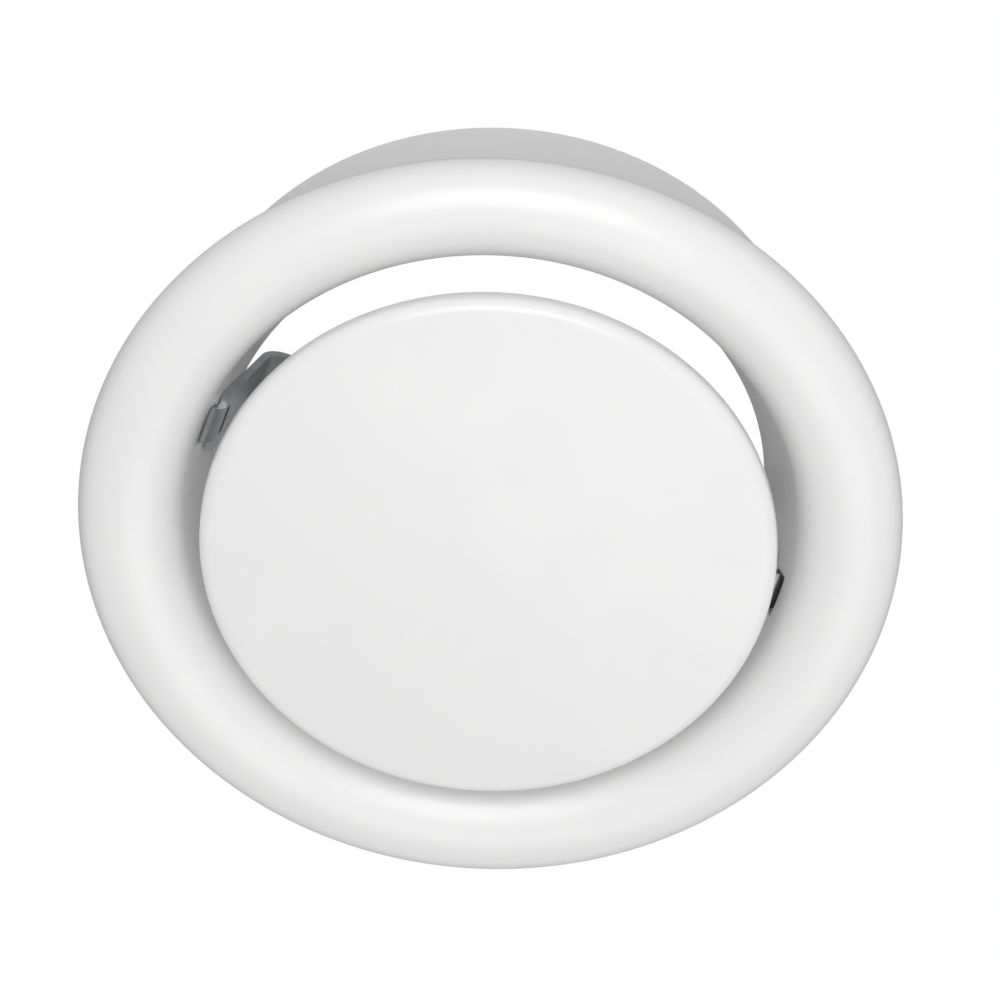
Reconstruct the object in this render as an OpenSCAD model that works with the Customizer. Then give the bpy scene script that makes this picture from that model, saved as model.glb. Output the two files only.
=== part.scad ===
// Round disc air valve for a ceiling duct, in millimetres.
// +Z points up into the duct, the room is below, and the ceiling plane is z = 0.
// A collar is fixed in the ceiling. The ring with its funnel throat is pushed up
// into it and held by three leaf springs. A strap across the throat carries the
// threaded spindle with the disc, which is screwed in or out to set the air gap.

/* [Mounting collar] */
// Bore of the duct that the collar enters
duct_d = 125; // [120:0.5:130]
// Play between the collar and the duct, across the diameter
duct_play = 1.8; // [0.6:0.1:3]
// Length of the collar above the ceiling
collar_h = 40; // [30:1:60]
// Sheet thickness of the collar
collar_sheet = 0.9; // [0.7:0.1:1.2]
// Outer bend radius where the collar turns into its flange
collar_bend = 1.9; // [1.5:0.1:2.4]
// Width of the collar's flange outside its wall
flange_w = 8.8; // [8:0.1:9.4]
// Diameter of the screw holes in the flange
screw_hole_d = 4.2; // [3:0.1:4.6]
// Number of screw holes
screw_holes = 4; // [3:1:6]

/* [Ring] */
// How far the ring reaches out beyond the collar's wall
ring_over = 17.4; // [16:0.1:20]
// Height of the ring's crest below the ceiling
ring_h = 10.8; // [9.5:0.1:13]
// Radius of the curl at the ring's back edge
curl_r = 2.5; // [2:0.1:3]
// Angle over which the back edge is curled in
curl_turn = 60; // [30:5:75]
// Sheet thickness of the ring and throat
sheet = 1.2; // [0.8:0.1:1.4]

/* [Throat] */
// Radius of the bell mouth between the crest and the throat
bell_r = 11.4; // [10:0.1:12]
// Gap between the throat and the collar at the mouth
throat_play = 1.4; // [0.8:0.1:2]
// How far the throat's far lip stands inside the collar
lip_in = 8.5; // [7:0.1:10]
// Height of the lip above the ceiling
lip_z = 16.1; // [14:0.1:20]
// Length of the straight neck below the lip
neck_h = 2; // [1:0.1:3]

/* [Ceiling gasket] */
// Gap between the collar's flange and the gasket
gasket_play = 0.8; // [0.5:0.1:1.2]

/* [Strap] */
// Width of the strap's legs
leg_w = 13.5; // [12:0.1:15]
// Width of the strap's bar across the throat
bar_w = 10.6; // [9:0.1:11]
// Diameter of the eye in the middle of the strap
eye_d = 20; // [18:0.5:26]
// Sheet thickness of the strap
strap_t = 1.5; // [1.2:0.1:2]
// Height of the bar above the lip
bar_rise = 6.1; // [4.5:0.1:8]
// Inner bend radius between leg and bar
strap_bend = 3.2; // [2:0.1:4]
// Radius of the hollow where the leg narrows to the bar
waist_r = 4.5; // [3:0.1:6]
// Width of the hook at the end of each leg
hook_w = 8; // [6:0.1:9]
// Height of the hook's bend above the ceiling
hook_z = 3; // [2.8:0.1:4]
// Inner bend radius of the hook
hook_bend = 0.8; // [0.5:0.1:1.2]
// How far the hook stands out of the throat wall
hook_out = 1.3; // [0.8:0.1:1.6]
// Open height of the wall slot below the hook
slot_open = 2.2; // [1.5:0.1:2.4]
// Width of the relief slot in the leg above the hook
relief_w = 6.4; // [4:0.2:8]
// Height of the relief slot
relief_h = 1.6; // [1.2:0.1:2]
// Distance of the relief slot above the hook's bend
relief_up = 1.4; // [1:0.1:2]

/* [Spindle] */
// Thread diameter
thread_d = 8; // [6:0.5:8.5]
// Thread pitch
thread_pitch = 1.25; // [1:0.05:1.5]
// Running clearance of the thread, on the radius
thread_play = 0.05; // [0.03:0.01:0.08]
// Height of the spindle's upper end above the ceiling
spindle_top = 45; // [44:1:55]
// Outer diameter of the bush's flange
bush_flange_d = 17; // [15:0.5:19]
// Outer diameter of the bush's shank in the strap
bush_shank_d = 11.4; // [10.6:0.1:12]
// Thickness of the bush's flange
bush_flange_t = 1.8; // [1.2:0.1:2.5]
// Height of the bush's riveted head above the strap
bush_head_h = 2.2; // [1.5:0.1:3]
// Width of the lock nut across its flats
nut_flats = 13; // [12:0.5:14]
// Height of the lock nut
nut_h = 4; // [3:0.1:5]

/* [Disc] */
// How far the disc's edge reaches out beyond the lip
disc_over = 3; // [1:0.1:3.2]
// Depth of the disc's widest circle below the ceiling
disc_drop = 12.9; // [12.9:0.1:18]
// Radius of the disc's rounded edge
edge_r = 2.5; // [1.8:0.1:3]
// Straight height of the disc's rim behind the rounded edge
rim_h = 1.9; // [1:0.1:1.9]
// Rise of the disc's shallow dome
crown = 3.5; // [2:0.1:6]
// Sheet thickness of the disc
disc_sheet = 1; // [0.8:0.1:1.2]
// Diameter of the flange under the disc's hub
hub_flange_d = 30; // [24:0.5:40]
// Thickness of that flange at its edge
hub_flange_t = 1.5; // [1:0.1:2]
// Diameter of the hub
hub_d = 15; // [13:0.5:18]
// Height of the hub above the disc's inner face
hub_h = 10; // [7:0.5:12]

/* [Retaining springs] */
// Angle of the first spring from the strap
spring_turn = 15; // [15:1:45]
// Width of each spring
spring_w = 10; // [8:0.5:11]
// Thickness of each spring
spring_t = 0.6; // [0.4:0.05:0.7]
// Height of the spring's foot above the ceiling, at its upper end
foot_z = 5.2; // [4.8:0.1:5.6]
// Length of the spring's foot
foot_len = 6.6; // [6.4:0.1:7]
// Height of the middle of the spring's bow above the ceiling
bow_z = 12; // [10.5:0.5:13.5]
// Straight length of the bow
bow_h = 3.4; // [2:0.2:4]
// Height of the turned-in tip above the bow
tip_h = 6.8; // [5:0.2:9]
// How far the tip turns in
tip_in = 3.4; // [2:0.2:4]
// Length over which each bend is rounded, on either side
spring_bend = 1.3; // [0.8:0.1:1.6]
// Gap between the bow and the collar
bow_gap = 0.3; // [0.2:0.05:0.4]
// Shank diameter of the rivets
rivet_d = 3; // [2.5:0.1:3.2]
// Diameter of the rivet heads
rivet_head_d = 5.4; // [5:0.1:6]
// Height of the rivet heads
rivet_head_h = 0.9; // [0.6:0.1:1]

/* [Hidden] */

$fn = 96;
steps = 12;          // segments in each arc of a profile
seat = 0.05;         // gap between pieces that are fastened face to face
past = 1;            // how far a cutter reaches past what it cuts
chamfer = 0.5;       // small chamfers on the bush and the hub
slot_side = 0.5;     // room beside the hook in its slot

// The collar
collar_r = (duct_d - duct_play) / 2;
collar_in_r = collar_r - collar_sheet;
flange_r = collar_r + flange_w;
screw_circle_r = collar_r + flange_w / 2 + (collar_bend - collar_sheet) / 2;

// The ring and the throat: a bell of radius bell_r runs tangent into the cone
ring_r = collar_r + ring_over;
lip_r = collar_in_r - lip_in;
crest_r = collar_in_r - throat_play - sheet + bell_r;
bell_z = bell_r - ring_h;
neck = [lip_r, lip_z - neck_h];
neck_to_bell = [crest_r, bell_z] - neck;
cone_lean = atan2(neck_to_bell.x, -neck_to_bell.y) - asin(bell_r / norm(neck_to_bell));

// The strap: its flat legs stand off the round wall by the depth of the arc behind them
leg_off = seat + pow(leg_w / 2, 2) / (2 * neck.x);
bar_z = lip_z + bar_rise;
bend_z = bar_z - strap_bend;
bend_x = neck.x - (leg_off + strap_t + strap_bend + (bend_z - neck.y) * sin(cone_lean)) / cos(cone_lean);
hook_s = (neck.y - hook_z) / cos(cone_lean);
waist_x = bend_x - strap_t;

// The spindle and what sits on it
bore_r = thread_d / 2;
spindle_r = bore_r - thread_play;
bush_top = bar_z + strap_t + seat + bush_head_h;
nut_z = bush_top + seat;
thread_chamfer = 0.8 * thread_pitch;

// The disc: a dome of radius dome_r runs tangent into the rounded edge
disc_r = lip_r + disc_over;
edge_x = disc_r - edge_r;
dome_q = (edge_x * edge_x + crown * crown) / (2 * crown);
dome_r = dome_q + edge_r;
dome_z = dome_r - disc_drop - edge_r - crown;
edge_turn = asin(edge_x / dome_q);
disc_in_z = dome_z - dome_r + disc_sheet;
hub_top = disc_in_z + hub_h;

// The springs: the foot lies on the outside of the cone below the bow
spring_count = 3;
foot_s = (neck.y - foot_z) / cos(cone_lean);
rivet_s = foot_s + foot_len / 2 + spring_bend / 4;
bow_r = collar_in_r - bow_gap;

// Plane curves
function unit(v) = v / norm(v);
function left_of(v) = [-v.y, v.x];
function arc(c, r, a0, a1, n = steps) = ellipse_arc(c, r, r, a0, a1, n);
function ellipse_arc(c, rx, ry, a0, a1, n = steps) =
    [for (i = [0:n]) let (a = a0 + (a1 - a0) * i / n) c + [rx * cos(a), ry * sin(a)]];
function bend_point(a, p, b, t) = (1 - t) * (1 - t) * a + 2 * t * (1 - t) * p + t * t * b;

// A bent line with each corner rounded over a length d on both sides
function soften(p, d, n = 6) = concat(
    [p[0]],
    [for (i = [1:len(p) - 2])
        let (a = p[i] + d * unit(p[i - 1] - p[i]), b = p[i] + d * unit(p[i + 1] - p[i]))
        for (k = [0:n]) bend_point(a, p[i], b, k / n)],
    [p[len(p) - 1]]
);

// The mitred direction to the left of a line at its point i
function mitre(p, i) =
    let (
        n = len(p) - 1,
        d1 = unit(p[max(i, 1)] - p[max(i, 1) - 1]),
        d2 = unit(p[min(i, n - 1) + 1] - p[min(i, n - 1)]),
        m = unit(left_of(d1) + left_of(d2))
    )
    m / (m * left_of(d1));

// The section of bent sheet metal: a line and its copy at distance t to the left
function backwards(p) = [for (i = [len(p) - 1:-1:0]) p[i]];
function sheet_section(p, t) = concat(p, backwards([for (i = [0:len(p) - 1]) p[i] + t * mitre(p, i)]));

// A point s down the throat's cone from its neck and o outside its inner face
function on_cone(s, o) = neck + s * [sin(cone_lean), -cos(cone_lean)] + o * [cos(cone_lean), sin(cone_lean)];

// Extrudes a radial section, drawn as [radius, height], to a width across the strap
module across(width) {
    rotate([90, 0, 0])
        linear_extrude(height = width, center = true)
            children();
}

// A rectangle cut through the cone wall or what lies along it, from s0 to s1
module cone_window(s0, s1, o0, o1) {
    polygon([on_cone(s0, o0), on_cone(s1, o0), on_cone(s1, o1), on_cone(s0, o1)]);
}

function body_line() = concat(
    [[lip_r, lip_z], neck],
    arc([crest_r, bell_z], bell_r, 180 + cone_lean, 270, 2 * steps),
    [for (i = [1:2 * steps]) let (a = 270 + 90 * i / (2 * steps))
        [crest_r, -curl_r] + [(ring_r - crest_r) * cos(a), (ring_h - curl_r) * sin(a)]],
    [for (i = [1:steps]) let (a = curl_turn * i / steps)
        [ring_r - curl_r, -curl_r] + curl_r * [cos(a), sin(a)]]
);

module mounting_collar() {
    line = concat(
        [[collar_in_r, collar_h]],
        arc([collar_in_r + collar_bend, collar_bend - collar_sheet], collar_bend, 180, 270),
        [[flange_r, -collar_sheet]]
    );
    color("white")
        difference() {
            rotate_extrude() polygon(sheet_section(line, collar_sheet));
            for (i = [0:screw_holes - 1])
                rotate([0, 0, (i + 0.5) * 360 / screw_holes])
                    translate([screw_circle_r, 0, -collar_sheet - past])
                        cylinder(d = screw_hole_d, h = collar_sheet + 2 * past);
        }
}

module valve_body() {
    color("white")
        difference() {
            rotate_extrude() polygon(sheet_section(body_line(), sheet));
            for (side = [0, 180])
                rotate([0, 0, side]) across(hook_w + 2 * slot_side)
                    cone_window(hook_s + hook_bend / 2, hook_s + hook_bend + strap_t + slot_open,
                                -past, sheet + past);
            for (i = [0:spring_count - 1])
                at_spring(i) rivet_axis(-past) cylinder(d = rivet_d + 2 * seat, h = sheet + 2 * past);
        }
}

// A soft foam ring that fills the back of the rim and closes it against the ceiling
module ceiling_gasket() {
    inner = flange_r + gasket_play;
    outer = ring_r - curl_r + (curl_r - sheet) * cos(curl_turn) - seat;
    rx = ring_r - crest_r - sheet - seat;
    ry = ring_h - curl_r - sheet - seat;
    color("dimgray")
        rotate_extrude()
            polygon(concat(
                [[inner, 0]],
                [for (i = [0:steps]) let (r = inner + (outer - inner) * i / steps, q = (r - crest_r) / rx)
                    [r, -curl_r - ry * sqrt(1 - q * q)]],
                [[outer, 0]]
            ));
}

// The strap's inner face, from the bend at the bar's end to the tip of a hook
function strap_half_line() =
    let (hook = on_cone(hook_s, hook_bend - leg_off))
    concat(
        arc([bend_x, bend_z], strap_bend, 90, cone_lean),
        arc(hook, hook_bend + strap_t, 180 + cone_lean, 270 + cone_lean),
        [on_cone(hook_s + hook_bend + strap_t, sheet + hook_out)]
    );

function strap_line() = concat([for (p = backwards(strap_half_line())) [-p.x, p.y]], strap_half_line());

// The strap's outline seen along the spindle: round eye, narrow bar, flared ends
module strap_plan() {
    eye_turn = 90 - asin(bar_w / eye_d);
    flare_turn = acos(1 - (leg_w - bar_w) / 2 / waist_r);
    flare_c = [waist_x - waist_r * sin(flare_turn), bar_w / 2 + waist_r];
    quarter = concat(
        [for (i = [1:steps]) let (a = 90 - eye_turn * i / steps) eye_d / 2 * [cos(a), sin(a)]],
        arc(flare_c, waist_r, 270, 270 + flare_turn),
        [[ring_r, leg_w / 2]]
    );
    half = concat([[0, eye_d / 2]], quarter, [for (p = backwards(quarter)) [p.x, -p.y]]);
    polygon(concat(half, [for (p = half) -p]));
}

module bridge_strap() {
    beyond = leg_w;    // more than the hook reaches to any side
    color("lightgray")
        difference() {
            intersection() {
                across(eye_d) polygon(sheet_section(strap_line(), strap_t));
                translate([0, 0, -ring_h]) linear_extrude(height = ring_h + spindle_top) strap_plan();
            }
            for (side = [0, 180]) rotate([0, 0, side]) {
                for (edge = [-1, 1])
                    translate([0, edge * (hook_w + leg_w) / 2, 0]) across(leg_w)
                        cone_window(hook_s - seat, hook_s + beyond, -beyond, beyond);
                across(relief_w)
                    cone_window(hook_s - relief_up - relief_h, hook_s - relief_up, -leg_off - strap_t - past, past);
            }
            translate([0, 0, bar_z - past]) cylinder(d = bush_shank_d + 2 * seat, h = strap_t + 2 * past);
        }
}

// A flanged bush, pushed up through the strap and riveted over above it
module threaded_bush() {
    flange_top = bar_z - seat;
    head_z = bar_z + strap_t + seat;
    flange_x = bush_flange_d / 2;
    shank_x = bush_shank_d / 2;
    head_x = shank_x + 2 * chamfer;
    color("silver")
        rotate_extrude()
            polygon([
                [bore_r, flange_top - bush_flange_t],
                [flange_x - chamfer, flange_top - bush_flange_t],
                [flange_x, flange_top - bush_flange_t + chamfer],
                [flange_x, flange_top],
                [shank_x, flange_top],
                [shank_x, head_z],
                [head_x, head_z],
                [head_x, bush_top - chamfer],
                [head_x - chamfer, bush_top],
                [bore_r, bush_top]
            ]);
}

module lock_nut() {
    corner_r = nut_flats / 2 / cos(30);
    cut = (corner_r - nut_flats / 2) * tan(30);
    color("silver")
        translate([0, 0, nut_z])
            difference() {
                intersection() {
                    cylinder(r = corner_r, h = nut_h, $fn = 6);
                    rotate_extrude()
                        polygon([
                            [0, 0], [nut_flats / 2, 0], [corner_r, cut],
                            [corner_r, nut_h - cut], [nut_flats / 2, nut_h], [0, nut_h]
                        ]);
                }
                translate([0, 0, -past]) cylinder(r = bore_r, h = nut_h + 2 * past);
            }
}

module spindle() {
    bottom = disc_in_z + seat;
    color("silver")
        rotate_extrude()
            polygon([
                [0, bottom], [spindle_r - thread_chamfer, bottom], [spindle_r, bottom + thread_chamfer],
                [spindle_r, spindle_top - thread_chamfer], [spindle_r - thread_chamfer, spindle_top],
                [0, spindle_top]
            ]);
}

// The disc's face, or at depth o the inside of its sheet, from the middle to the rim
function disc_line(o) = concat(
    [for (i = [0:2 * steps]) let (a = edge_turn * i / (2 * steps))
        [0, dome_z] + (dome_r - o) * [sin(a), -cos(a)]],
    [for (i = [1:steps]) let (a = 270 + edge_turn + (90 - edge_turn) * i / steps)
        [edge_x, -disc_drop] + (edge_r - o) * [cos(a), sin(a)]],
    [[disc_r - o, rim_h - disc_drop]]
);

module disc() {
    color("white")
        rotate_extrude()
            polygon(concat(disc_line(0), backwards(disc_line(disc_sheet))));
}

// A flanged hub, welded to the dome, that holds the spindle's foot
module disc_hub() {
    seat_r = dome_r - disc_sheet - seat;
    flange_x = hub_flange_d / 2;
    flange_z = dome_z - sqrt(seat_r * seat_r - flange_x * flange_x);
    color("silver")
        rotate_extrude()
            polygon(concat(
                [for (i = [0:steps]) let (x = bore_r + (flange_x - bore_r) * i / steps)
                    [x, dome_z - sqrt(seat_r * seat_r - x * x)]],
                [[flange_x, flange_z + hub_flange_t],
                 [hub_d / 2 + hub_flange_t, flange_z + hub_flange_t],
                 [hub_d / 2, flange_z + 2 * hub_flange_t],
                 [hub_d / 2, hub_top - chamfer],
                 [hub_d / 2 - chamfer, hub_top],
                 [bore_r, hub_top]]
            ));
}

// Places a child, drawn in the plane of +X, at spring i
module at_spring(i) {
    rotate([0, 0, spring_turn + i * 360 / spring_count]) children();
}

// Places a child on the rivet's axis, which is square to the cone wall, o outside its inner face
module rivet_axis(o) {
    p = on_cone(rivet_s, o);
    translate([p.x, 0, p.y]) rotate([0, 90 - cone_lean, 0]) children();
}

// A bowed leaf: its foot lies on the cone, its bow bears on the collar, its tip turns in
module retaining_spring(i) {
    inner = bow_r - spring_t;
    line = soften([
        on_cone(foot_s + foot_len, sheet + seat), on_cone(foot_s, sheet + seat),
        [inner, bow_z - bow_h / 2], [inner, bow_z + bow_h / 2],
        [inner - tip_in, bow_z + bow_h / 2 + tip_h]
    ], spring_bend);
    color("gray")
        at_spring(i)
            difference() {
                across(spring_w) polygon(sheet_section(line, -spring_t));
                rivet_axis(-past) cylinder(d = rivet_d + 2 * seat, h = sheet + 3 * past);
            }
}

// Half the outline of a low domed rivet head, from its edge to the middle of its top
function head_line() =
    let (
        r = rivet_head_d / 2,
        rise = rivet_head_h * 2 / 3,
        q = (r * r + rise * rise) / (2 * rise)
    )
    arc([0, rivet_head_h - q], q, 90 - asin(r / q), 90);

module spring_rivets() {
    inner_seat = seat + pow(rivet_head_d / 2, 2) / (2 * neck.x);
    grip = sheet + spring_t + 2 * seat + inner_seat;
    color("silver")
        for (i = [0:spring_count - 1])
            at_spring(i) rivet_axis(-inner_seat)
                rotate_extrude()
                    polygon(concat(
                        [for (p = backwards(head_line())) [p.x, -p.y]],
                        [[rivet_head_d / 2, 0], [rivet_d / 2, 0], [rivet_d / 2, grip], [rivet_head_d / 2, grip]],
                        [for (p = head_line()) [p.x, grip + p.y]]
                    ));
}

mounting_collar();
valve_body();
ceiling_gasket();
bridge_strap();
threaded_bush();
lock_nut();
spindle();
disc();
disc_hub();
retaining_spring(0);  // retaining_spring_1
retaining_spring(1);  // retaining_spring_2
retaining_spring(2);  // retaining_spring_3
spring_rivets();
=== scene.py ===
# %% [markdown]
# A round ceiling air valve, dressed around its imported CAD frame.
# The frame gives every piece its place and size: +Z points up into the duct, the room is below, and the
# ceiling is the plane z = 0. This script builds smoother and finer meshes for the pressed sheet pieces and
# gives each piece its finish. Lengths are in metres, and MM turns a millimetre into metres.
# %% Load the frame
import math

import bmesh
import bpy
from mathutils import Matrix, Vector


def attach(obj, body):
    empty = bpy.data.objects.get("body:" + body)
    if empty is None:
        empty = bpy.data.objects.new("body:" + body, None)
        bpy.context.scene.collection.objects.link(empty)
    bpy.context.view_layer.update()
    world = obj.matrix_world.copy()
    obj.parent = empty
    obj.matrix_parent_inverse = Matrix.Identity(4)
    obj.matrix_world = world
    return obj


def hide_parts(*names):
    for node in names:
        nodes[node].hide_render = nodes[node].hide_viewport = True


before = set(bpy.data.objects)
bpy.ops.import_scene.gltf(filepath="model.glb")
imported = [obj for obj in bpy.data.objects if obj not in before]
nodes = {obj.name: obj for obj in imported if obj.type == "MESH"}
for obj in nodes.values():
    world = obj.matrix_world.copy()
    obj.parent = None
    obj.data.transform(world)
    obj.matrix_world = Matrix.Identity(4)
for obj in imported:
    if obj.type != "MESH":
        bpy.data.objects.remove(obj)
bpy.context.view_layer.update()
MM = 0.001
print("frame nodes:", len(nodes))

# %% [markdown]
# The camera stands below the valve and looks up at it through a long lens, as in the photograph. Its place was fitted
# to the outlines of the ring, the lip, the disc and the collar. It is set up first.
# %% The camera
RING_CENTRE = Vector((0, 0, -2.5 * MM))
CAMERA_DISTANCE = 2.4
CAMERA_LEAN = math.radians(31.6)
CAMERA_ROLL = math.radians(-3.78)
CAMERA_TURN = math.radians(-14.7)
LENS = 451.2
SHIFT_X = 0.0099
SHIFT_Y = 0.0172


def camera_matrix():
    """The camera's place, from its lean off the duct's axis, its roll and its turn around that axis."""
    base = Matrix.Rotation(CAMERA_TURN, 3, "Z")
    flip = Matrix.Diagonal((1, -1, -1))
    back = base @ flip @ Vector((0, math.sin(CAMERA_LEAN), math.cos(CAMERA_LEAN)))
    level_right = base @ flip @ Vector((1, 0, 0))
    roll = Matrix.Rotation(-CAMERA_ROLL, 3, back)
    right = roll @ level_right
    up = back.cross(right)
    turn = Matrix((right, up, back)).transposed().to_4x4()
    return Matrix.Translation(RING_CENTRE + CAMERA_DISTANCE * back) @ turn


camera_data = bpy.data.cameras.new("camera")
camera_data.lens = LENS
camera_data.shift_x = SHIFT_X
camera_data.shift_y = SHIFT_Y
camera_data.clip_end = 50
camera = bpy.data.objects.new("camera", camera_data)
bpy.context.scene.collection.objects.link(camera)
camera.matrix_world = camera_matrix()
bpy.context.scene.camera = camera
print("camera at", [round(x, 3) for x in camera.location])

# %% [markdown]
# Sheet metal is drawn as a line and thickened. These helpers make the lines: an arc is a list of points,
# each a radius from the duct's axis and a height. A revolve spins such a line around the axis. The spin is
# full, so its first and last copies are merged, and points that lie on the axis become one.
# %% Helpers for turned sheet metal
TURNS = 192


def arc(centre, radius, start, end, count, radius_z=None):
    """Points on an arc, or part of an ellipse, from one angle to another in degrees."""
    tall = radius if radius_z is None else radius_z
    angles = [math.radians(start + (end - start) * i / count) for i in range(count + 1)]
    return [(centre[0] + radius * math.cos(a), centre[1] + tall * math.sin(a)) for a in angles]


def revolve(line, closed=False, turns=TURNS, start=0.0):
    """A bmesh made by spinning a line of (radius, height) points around Z, beginning at an angle."""
    bm = bmesh.new()
    verts = [bm.verts.new((r, 0, z)) for r, z in line]
    edges = [bm.edges.new(pair) for pair in zip(verts, verts[1:])]
    if closed:
        edges.append(bm.edges.new((verts[-1], verts[0])))
    bmesh.ops.rotate(bm, verts=verts, cent=(0, 0, 0), matrix=Matrix.Rotation(start, 3, "Z"))
    bmesh.ops.spin(bm, geom=verts + edges, cent=(0, 0, 0), axis=(0, 0, 1), angle=2 * math.pi,
                   steps=turns, use_merge=True, use_duplicate=False)
    bmesh.ops.remove_doubles(bm, verts=bm.verts, dist=0.001 * MM)
    bmesh.ops.recalc_face_normals(bm, faces=bm.faces)
    return bm


def round_edges(bm, width, sharp=40, segments=2):
    """Bevels every edge whose faces meet at more than the given angle."""
    found = [e for e in bm.edges if len(e.link_faces) == 2 and e.calc_face_angle() > math.radians(sharp)]
    bmesh.ops.bevel(bm, geom=found, affect="EDGES", offset=width, offset_type="OFFSET", segments=segments,
                    profile=0.5, material=-1, clamp_overlap=True)


def add_piece(name, bm, body, replaced=(), sharp=35):
    """Turns a bmesh into an object that rides on a body and stands for the named CAD nodes."""
    mesh = bpy.data.meshes.new(name)
    bm.to_mesh(mesh)
    bm.free()
    mesh.shade_smooth()
    mesh.set_sharp_from_angle(angle=math.radians(sharp))
    piece = bpy.data.objects.new(name, mesh)
    bpy.context.scene.collection.objects.link(piece)
    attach(piece, body)
    if replaced:
        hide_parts(*replaced)
    print(name, "faces:", len(mesh.polygons))
    return piece


# %% [markdown]
# The ring and the throat are one pressed sheet: a straight neck at the lip, a cone, a round bell mouth, a
# flatter ring and a curl at the back edge. Only its front face is spun. The slots that the strap's hooks
# pass through are opened by taking faces out, and the sheet then gets its thickness, so the slots get
# proper walls. The spin begins half a step early, to bring its grid onto the slots' sides.
# %% The pressed body
COLLAR_IN_R = 60.7 * MM
SHEET = 1.2 * MM
BELL_R = 11.4 * MM
CREST_R = COLLAR_IN_R - 1.4 * MM - SHEET + BELL_R
RING_R = 79 * MM
RING_H = 10.8 * MM
CURL_R = 2.5 * MM
CURL_TURN = 60
BELL_Z = BELL_R - RING_H
LIP_R = 52.2 * MM
LIP_Z = 16.1 * MM
NECK = Vector((LIP_R, 14.1 * MM))
to_bell = Vector((CREST_R, BELL_Z)) - NECK
CONE_LEAN = math.atan2(to_bell.x, -to_bell.y) - math.asin(BELL_R / to_bell.length)
HOOK_Z = 3 * MM
HOOK_S = (NECK.y - HOOK_Z) / math.cos(CONE_LEAN)
SLOT_TOP = HOOK_S + 0.4 * MM
SLOT_END = HOOK_S + 4.5 * MM
SLOT_STEPS = 5


def on_cone(s, out=0.0):
    """A point s down the cone from its neck and out from its inner face, as (radius, height)."""
    along = Vector((math.sin(CONE_LEAN), -math.cos(CONE_LEAN)))
    across = Vector((math.cos(CONE_LEAN), math.sin(CONE_LEAN)))
    return tuple(NECK + s * along + out * across)


def pressed_body():
    """The bmesh of the ring and throat, with the two hook slots."""
    lean = math.degrees(CONE_LEAN)
    line = [(LIP_R, LIP_Z), (LIP_R, LIP_Z - 1 * MM), (NECK.x, NECK.y + 0.4 * MM), on_cone(0.4 * MM)]
    line += [on_cone(SLOT_TOP * i / 6) for i in range(1, 7)] + [on_cone((SLOT_TOP + SLOT_END) / 2), on_cone(SLOT_END)]
    line += arc((CREST_R, BELL_Z), BELL_R, 180 + lean, 270, 32)
    line += arc((CREST_R, -CURL_R), RING_R - CREST_R, 270, 360, 32, RING_H - CURL_R)[1:]
    line += arc((RING_R - CURL_R, -CURL_R), CURL_R, 0, CURL_TURN, 12)[1:]
    step = 2 * math.pi / TURNS
    bm = revolve(line, start=-step / 2)
    in_slot = []
    for face in bm.faces:
        middle = face.calc_center_median()
        radius = math.hypot(middle.x, middle.y)
        low = on_cone(SLOT_END)[1] < middle.z < on_cone(SLOT_TOP)[1]
        if low and abs(middle.y) < SLOT_STEPS / 2 * step * radius and radius < COLLAR_IN_R:
            in_slot.append(face)
    bmesh.ops.delete(bm, geom=in_slot, context="FACES")
    print("slot faces taken out:", len(in_slot))
    return bm


body_mesh = pressed_body()
outward = sum((f.normal.z for f in body_mesh.faces)) > 0
if outward:
    bmesh.ops.reverse_faces(body_mesh, faces=body_mesh.faces)
bmesh.ops.solidify(body_mesh, geom=body_mesh.faces, thickness=SHEET)
round_edges(body_mesh, 0.25 * MM)
pressed = add_piece("pressed_body", body_mesh, "insert", ["valve_body"])

# %% [markdown]
# The disc is a second pressing: a shallow dome with a rounded edge and a short straight rim. Its section is
# drawn whole, outside and inside, because a dome that meets its own axis thickens cleanly that way.
# %% The disc
DISC_R = 55.2 * MM
EDGE_R = 2.5 * MM
DISC_DROP = 12.9 * MM
RIM_H = 1.9 * MM
CROWN = 3.5 * MM
DISC_SHEET = 1 * MM
EDGE_X = DISC_R - EDGE_R
DOME_Q = (EDGE_X ** 2 + CROWN ** 2) / (2 * CROWN)
DOME_R = DOME_Q + EDGE_R
DOME_Z = DOME_R - DISC_DROP - EDGE_R - CROWN
EDGE_TURN = math.degrees(math.asin(EDGE_X / DOME_Q))


def disc_line(depth):
    """The disc's face, or the inside of its sheet, from the middle to the rim."""
    line = arc((0, DOME_Z), DOME_R - depth, 270, 270 + EDGE_TURN, 24)
    line += arc((EDGE_X, -DISC_DROP), EDGE_R - depth, 270 + EDGE_TURN, 360, 14)[1:]
    return line + [(DISC_R - depth, RIM_H - DISC_DROP)]


disc_mesh = revolve(disc_line(0) + disc_line(DISC_SHEET)[::-1], closed=False)
round_edges(disc_mesh, 0.3 * MM)
disc = add_piece("domed_disc", disc_mesh, "disc", ["disc"])

# %% [markdown]
# Paint, zinc and foam each get their own material. An effect that more than one of them uses is a node
# group, made once: soft uneven patches of a chosen size, read from the piece's own coordinates.
# %% Node helpers and the patches group


def new_group(name, inputs, outputs):
    """An empty shader node group with named float inputs and outputs, and its two end nodes."""
    group = bpy.data.node_groups.new(name, "ShaderNodeTree")
    for label, value in inputs:
        socket = group.interface.new_socket(label, in_out="INPUT", socket_type="NodeSocketFloat")
        socket.default_value = value
    for label in outputs:
        group.interface.new_socket(label, in_out="OUTPUT", socket_type="NodeSocketFloat")
    start = group.nodes.new("NodeGroupInput")
    end = group.nodes.new("NodeGroupOutput")
    return group, start, end


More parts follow.
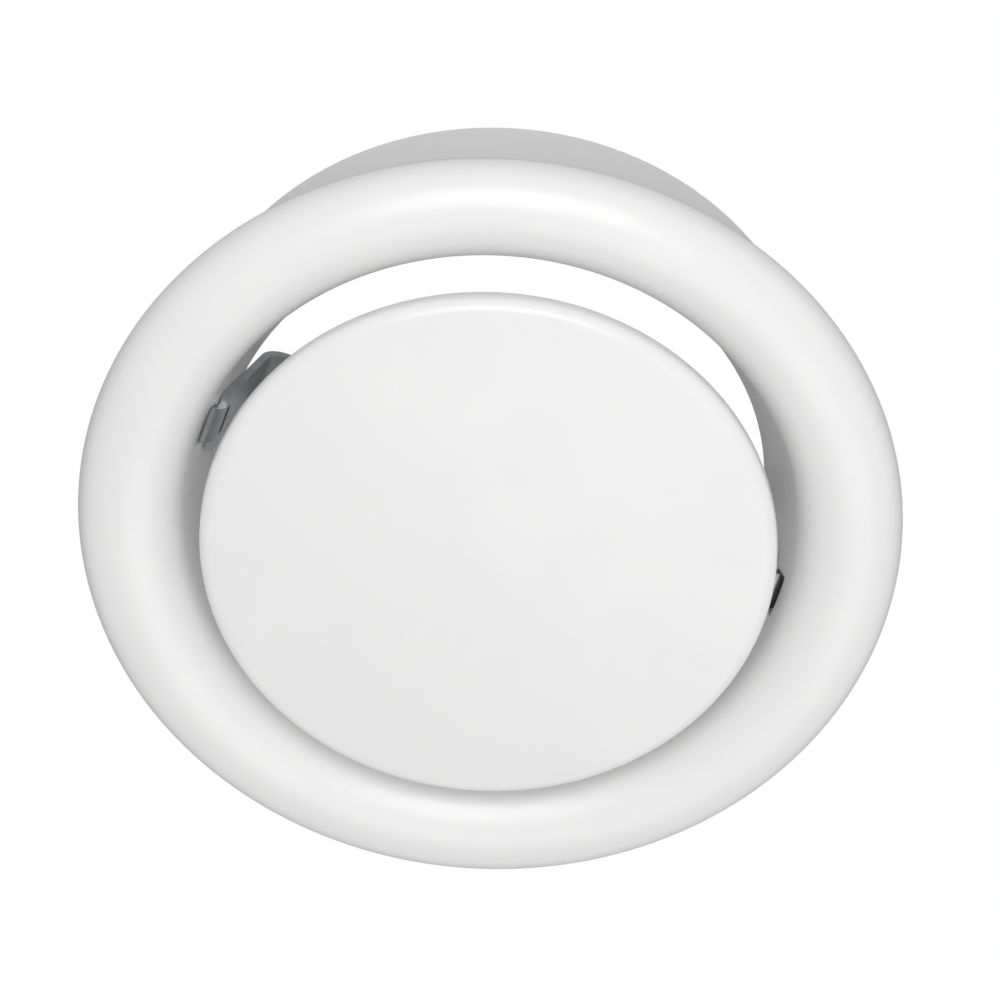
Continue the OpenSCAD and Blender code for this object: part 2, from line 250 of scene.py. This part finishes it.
def patches_group():
    """Uneven patches between 0 and 1: Size in metres, Contrast from soft to hard."""
    group, start, end = new_group("uneven patches", [("Size", 0.01), ("Contrast", 1.0), ("Detail", 3.0)], ["Mask"])
    links = group.links
    coords = group.nodes.new("ShaderNodeTexCoord")
    scale = group.nodes.new("ShaderNodeMath")
    scale.operation = "DIVIDE"
    scale.inputs[0].default_value = 1.0
    links.new(start.outputs["Size"], scale.inputs[1])
    noise = group.nodes.new("ShaderNodeTexNoise")
    links.new(coords.outputs["Object"], noise.inputs["Vector"])
    links.new(scale.outputs[0], noise.inputs["Scale"])
    links.new(start.outputs["Detail"], noise.inputs["Detail"])
    centred = group.nodes.new("ShaderNodeMath")
    centred.operation = "SUBTRACT"
    centred.inputs[1].default_value = 0.5
    links.new(noise.outputs["Fac"], centred.inputs[0])
    spread = group.nodes.new("ShaderNodeMath")
    spread.operation = "MULTIPLY_ADD"
    spread.use_clamp = True
    spread.inputs[2].default_value = 0.5
    links.new(centred.outputs[0], spread.inputs[0])
    links.new(start.outputs["Contrast"], spread.inputs[1])
    links.new(spread.outputs[0], end.inputs["Mask"])
    return group


PATCHES = patches_group()
print("node group:", PATCHES.name)


def new_material(name):
    """A material with its Principled shader, and its tree."""
    material = bpy.data.materials.new(name)
    material.use_nodes = True
    tree = material.node_tree
    return material, tree, tree.nodes["Principled BSDF"]


def add_patches(tree, size, contrast, detail=3.0):
    """Places the patches group in a material and returns its mask."""
    node = tree.nodes.new("ShaderNodeGroup")
    node.node_tree = PATCHES
    node.inputs["Size"].default_value = size
    node.inputs["Contrast"].default_value = contrast
    node.inputs["Detail"].default_value = detail
    return node.outputs["Mask"]


def spread_value(tree, mask, low, high):
    """Maps a 0 to 1 mask to a range of values."""
    node = tree.nodes.new("ShaderNodeMapRange")
    node.inputs["To Min"].default_value = low
    node.inputs["To Max"].default_value = high
    tree.links.new(mask, node.inputs["Value"])
    return node.outputs["Result"]


def mix_colours(tree, mask, first, second):
    """A colour between two, by a mask."""
    node = tree.nodes.new("ShaderNodeMix")
    node.data_type = "RGBA"
    node.inputs["A"].default_value = (*first, 1)
    node.inputs["B"].default_value = (*second, 1)
    tree.links.new(mask, node.inputs["Factor"])
    return node.outputs["Result"]


def add_bump(tree, height, depth, after=None):
    """A bump of the given depth in metres, on top of another one if there is one."""
    node = tree.nodes.new("ShaderNodeBump")
    node.inputs["Distance"].default_value = depth
    node.inputs["Strength"].default_value = 1.0
    tree.links.new(height, node.inputs["Height"])
    if after is not None:
        tree.links.new(after, node.inputs["Normal"])
    return node.outputs["Normal"]


# %% [markdown]
# Powder coat on pressed steel is smooth but never flat: it has a faint orange peel, a little long waviness
# from the pressing, and slightly duller patches where it has been handled.
# %% White powder coat
def white_coat():
    material, tree, shader = new_material("white powder coat")
    shader.inputs["IOR"].default_value = 1.5
    handled = add_patches(tree, 18 * MM, 1.6)
    fine = add_patches(tree, 0.9 * MM, 1.0, 2.0)
    waves = add_patches(tree, 9 * MM, 1.0, 1.0)
    tree.links.new(mix_colours(tree, handled, (0.86, 0.862, 0.855), (0.83, 0.832, 0.828)), shader.inputs["Base Color"])
    tree.links.new(spread_value(tree, handled, 0.26, 0.36), shader.inputs["Roughness"])
    normal = add_bump(tree, waves, 0.03 * MM)
    normal = add_bump(tree, fine, 0.006 * MM, normal)
    tree.links.new(normal, shader.inputs["Normal"])
    return material


WHITE = white_coat()
for piece in (pressed, disc, nodes["mounting_collar"]):
    piece.data.materials.clear()
    piece.data.materials.append(WHITE)
print("painted white:", 3)

# %% [markdown]
# The strap, bush, nut, spindle, hub and rivets are zinc-plated steel, satin and a little blotchy. The leaf
# springs are plain spring steel, darker and smoother. The gasket is a dark closed-cell foam, full of pores.
# %% Zinc, spring steel and foam


def zinc_plate(name, light, dark, rough_low, rough_high):
    material, tree, shader = new_material(name)
    shader.inputs["Metallic"].default_value = 1.0
    blotches = add_patches(tree, 3 * MM, 2.2)
    grain = add_patches(tree, 0.35 * MM, 1.4)
    tree.links.new(mix_colours(tree, blotches, light, dark), shader.inputs["Base Color"])
    tree.links.new(spread_value(tree, blotches, rough_low, rough_high), shader.inputs["Roughness"])
    tree.links.new(add_bump(tree, grain, 0.01 * MM), shader.inputs["Normal"])
    return material


def gasket_foam():
    material, tree, shader = new_material("gasket foam")
    # One mask sets the bump and darkens the colour at the bump's low points: painted shade in the pore hollows, laid
    # over the foam's own uneven dark tone.
    pores_and_painted_shade = add_patches(tree, 0.5 * MM, 3.0)
    tree.links.new(mix_colours(tree, pores_and_painted_shade, (0.03, 0.03, 0.032), (0.07, 0.07, 0.072)), shader.inputs["Base Color"])
    tree.links.new(spread_value(tree, pores_and_painted_shade, 0.8, 0.95), shader.inputs["Roughness"])
    tree.links.new(add_bump(tree, pores_and_painted_shade, 0.2 * MM), shader.inputs["Normal"])
    return material


ZINC = zinc_plate("zinc plate", (0.62, 0.63, 0.64), (0.5, 0.51, 0.53), 0.3, 0.45)
SPRING = zinc_plate("spring steel", (0.4, 0.4, 0.4), (0.33, 0.33, 0.34), 0.25, 0.38)
FOAM = gasket_foam()
FINISHES = {"ceiling_gasket": FOAM, "retaining_spring_1": SPRING, "retaining_spring_2": SPRING,
            "retaining_spring_3": SPRING}
for name in ("bridge_strap", "threaded_bush", "lock_nut", "spindle", "disc_hub", "spring_rivets"):
    FINISHES[name] = ZINC
for name, finish in FINISHES.items():
    nodes[name].data.materials.clear()
    nodes[name].data.materials.append(finish)
print("finished CAD nodes:", len(FINISHES))

# %% [markdown]
# The studio: a pale floor 2.4 m below the ceiling, wide soft lights, and a white surround that gives less
# light from the duct's side, because the throat is dark in the photograph.
# %% Floor, surround and lights
FLOOR_Z = -2.45
FLOOR_SIZE = 14


def stage_material(name, colour):
    material, tree, shader = new_material(name)
    shader.inputs["Base Color"].default_value = (*colour, 1)
    shader.inputs["Roughness"].default_value = 0.9
    return material


def stage_plate(name, bm, material):
    """A floor or backdrop, which isn't part of the valve."""
    mesh = bpy.data.meshes.new(name)
    bm.to_mesh(mesh)
    bm.free()
    mesh.materials.append(material)
    plate = bpy.data.objects.new(name, mesh)
    bpy.context.scene.collection.objects.link(plate)
    return plate


floor_mesh = bmesh.new()
bmesh.ops.create_grid(floor_mesh, x_segments=1, y_segments=1, size=FLOOR_SIZE / 2,
                      matrix=Matrix.Translation((0, 0, FLOOR_Z)))
stage_plate("floor", floor_mesh, stage_material("pale floor", (0.8, 0.8, 0.8)))


def surround():
    """White to the camera, and to everything else a soft light that weakens towards the ceiling."""
    world = bpy.data.worlds.new("studio")
    world.use_nodes = True
    bpy.context.scene.world = world
    tree = world.node_tree
    back = tree.nodes["Background"]
    back.inputs["Strength"].default_value = 1.0
    path = tree.nodes.new("ShaderNodeLightPath")
    coords = tree.nodes.new("ShaderNodeTexCoord")
    split = tree.nodes.new("ShaderNodeSeparateXYZ")
    tree.links.new(coords.outputs["Generated"], split.inputs["Vector"])
    height = tree.nodes.new("ShaderNodeMapRange")
    height.inputs["From Min"].default_value = -0.3
    height.inputs["From Max"].default_value = 0.6
    height.inputs["To Min"].default_value = 0.94
    height.inputs["To Max"].default_value = 0.3
    tree.links.new(split.outputs["Z"], height.inputs["Value"])
    pick = tree.nodes.new("ShaderNodeMix")
    pick.inputs["B"].default_value = 1.0
    tree.links.new(path.outputs["Is Camera Ray"], pick.inputs["Factor"])
    tree.links.new(height.outputs["Result"], pick.inputs["A"])
    tree.links.new(pick.outputs["Result"], back.inputs["Color"])


def soft_light(name, place, size, power):
    """A square area light aimed at the valve."""
    data = bpy.data.lights.new(name, "AREA")
    data.size = size
    data.energy = power
    light = bpy.data.objects.new(name, data)
    light.location = place
    light.rotation_euler = (-Vector(place)).to_track_quat("-Z", "Y").to_euler()
    light.visible_camera = False
    bpy.context.scene.collection.objects.link(light)
    return light


surround()
soft_light("key", (-0.3, -1.2, -1.9), 1.6, 33)
soft_light("fill", (0.9, 0.6, -1.8), 1.6, 10)
bpy.context.scene.view_settings.view_transform = "Standard"
print("lights:", 2)
